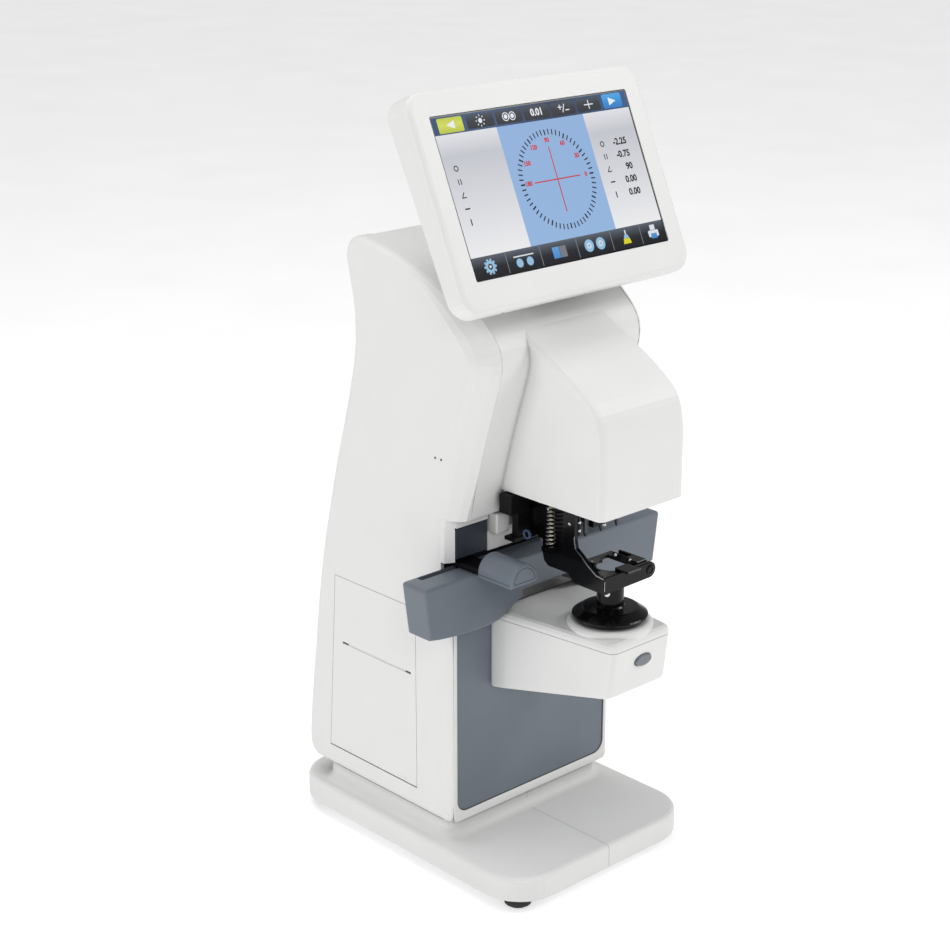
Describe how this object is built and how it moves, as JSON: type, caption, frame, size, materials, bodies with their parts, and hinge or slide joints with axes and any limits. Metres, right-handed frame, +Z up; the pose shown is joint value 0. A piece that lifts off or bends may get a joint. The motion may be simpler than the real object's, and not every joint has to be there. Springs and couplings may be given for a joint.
{
  "type": "automatic lensmeter",
  "caption": "Benchtop automatic lensmeter with a tilting touch display, spring lens holder, sliding lens table, marker and side printer.",
  "frame": {"origin": "middle of the footprint, at the underside of the feet", "axes": "+Z up, -Y towards the user (the stage side), +X to the right of the object as seen by someone facing its front"},
  "size_m": [0.1956, 0.2344, 0.4721],
  "materials": {
    "white_plastic": "satin off-white moulded plastic",
    "grey_plastic": "satin blue-grey moulded plastic",
    "black_gloss": "gloss black",
    "black_plastic": "satin black",
    "rubber": "matt black",
    "steel": "bare steel",
    "cast_metal": "cast",
    "glass": "clear",
    "mirror_glass": "polished",
    "screen_glass": "gloss, with a dark backlit panel behind it",
    "white_tip": "matt white",
    "circuit_board": "green laminate",
    "paper": "matt white paper"
  },
  "bodies": {
    "housing": {"base_cover_left": "white_plastic", "base_cover_right": "white_plastic", "base_plate": "steel", "foot_front_left": "rubber", "foot_front_right": "rubber", "foot_rear_left": "rubber", "foot_rear_right": "rubber", "side_shell_left": "white_plastic", "side_shell_right": "white_plastic", "front_cover": "white_plastic", "rear_cover": "white_plastic", "lower_front_panel": "grey_plastic", "waist_panel": "grey_plastic", "waist_cover": "white_plastic", "stage_housing": "white_plastic", "stage_top_cover": "white_plastic", "nosepiece": "black_gloss", "chassis_frame": "cast_metal", "objective_barrel": "black_plastic", "relay_tube": "black_plastic", "sensor_board": "circuit_board", "fold_mirror": "mirror_glass", "lamp_tube": "black_plastic", "collimator_lens": "glass", "holder_guide_rod": "steel", "ink_cartridge": "black_plastic", "display_neck": "white_plastic", "display_hinge_pin": "steel", "printer_cradle": "black_plastic", "thermal_head": "cast_metal", "main_board": "circuit_board", "power_supply": "steel", "power_inlet": "black_plastic"},
    "display": {"display_bezel": "white_plastic", "touch_screen": "screen_glass", "lcd_panel": "cast_metal", "display_rear_cover": "white_plastic", "display_pivot_block": "white_plastic"},
    "lens_table": {"lens_table": "grey_plastic", "table_slot_strip": "black_plastic", "table_rod_left": "steel", "table_rod_right": "steel"},
    "pd_slider": {"pd_slider": "grey_plastic", "slider_carriage": "black_plastic"},
    "lens_holder": {"holder_arm": "black_gloss", "press_plate": "black_gloss", "lens_pin_left": "white_tip", "lens_pin_right": "white_tip", "lens_pin_rear": "white_tip", "holder_spring": "steel"},
    "marking_head": {"marking_carriage": "black_plastic", "marking_pin_left": "steel", "marking_pin_centre": "steel", "marking_pin_right": "steel"},
    "read_button": {"read_button": "grey_plastic"},
    "printer_door": {"printer_door": "white_plastic"},
    "paper_roll": {"paper_roll": "paper"},
    "platen_roller": {"platen_roller": "rubber"},
    "power_switch": {"power_switch": "black_gloss"}
  },
  "joints": [
    {"name": "display_tilt", "type": "hinge", "parent": "housing", "child": "display", "pos_m": [0, -0.03255, 0.3737], "axis": [1, 0, 0], "range_deg": [-25, 15]},
    {"name": "lens_table_slide", "type": "slide", "parent": "housing", "child": "lens_table", "axis": [0, -1, 0], "range_m": [0, 0.027]},
    {"name": "pd_slider_slide", "type": "slide", "parent": "lens_table", "child": "pd_slider", "axis": [1, 0, 0], "range_m": [-0.029, 0.018]},
    {"name": "lens_holder_lift", "type": "slide", "parent": "housing", "child": "lens_holder", "axis": [0, 0, 1], "range_m": [0, 0.015], "stiffness_N_per_m": 100, "springref_m": -0.02, "deforming": ["holder_spring"]},
    {"name": "marking_head_press", "type": "slide", "parent": "housing", "child": "marking_head", "axis": [0, -0.3253, -0.9456], "range_m": [0, 0.0264], "stiffness_N_per_m": 60, "springref_m": -0.02},
    {"name": "read_button_press", "type": "slide", "parent": "housing", "child": "read_button", "axis": [0, 1, 0], "range_m": [0, 0.0015], "stiffness_N_per_m": 400, "springref_m": -0.001},
    {"name": "printer_door_hinge", "type": "hinge", "parent": "housing", "child": "printer_door", "pos_m": [-0.0664, 0.04345, 0.0504], "axis": [0, -1, 0], "range_deg": [0, 80]},
    {"name": "paper_roll_spin", "type": "hinge", "parent": "housing", "child": "paper_roll", "pos_m": [-0.037, 0.03945, 0.084], "axis": [0, 1, 0], "continuous": true},
    {"name": "platen_roller_spin", "type": "hinge", "parent": "housing", "child": "platen_roller", "pos_m": [-0.056, 0.03945, 0.1185], "axis": [0, 1, 0], "continuous": true},
    {"name": "power_switch_rock", "type": "hinge", "parent": "housing", "child": "power_switch", "pos_m": [-0.007, 0.10905, 0.062], "axis": [1, 0, 0], "range_deg": [-12, 0]}
  ],
  "couplings": [
    {"joint": "platen_roller_spin", "follows": "paper_roll_spin", "ratio": 4.0909}
  ]
}
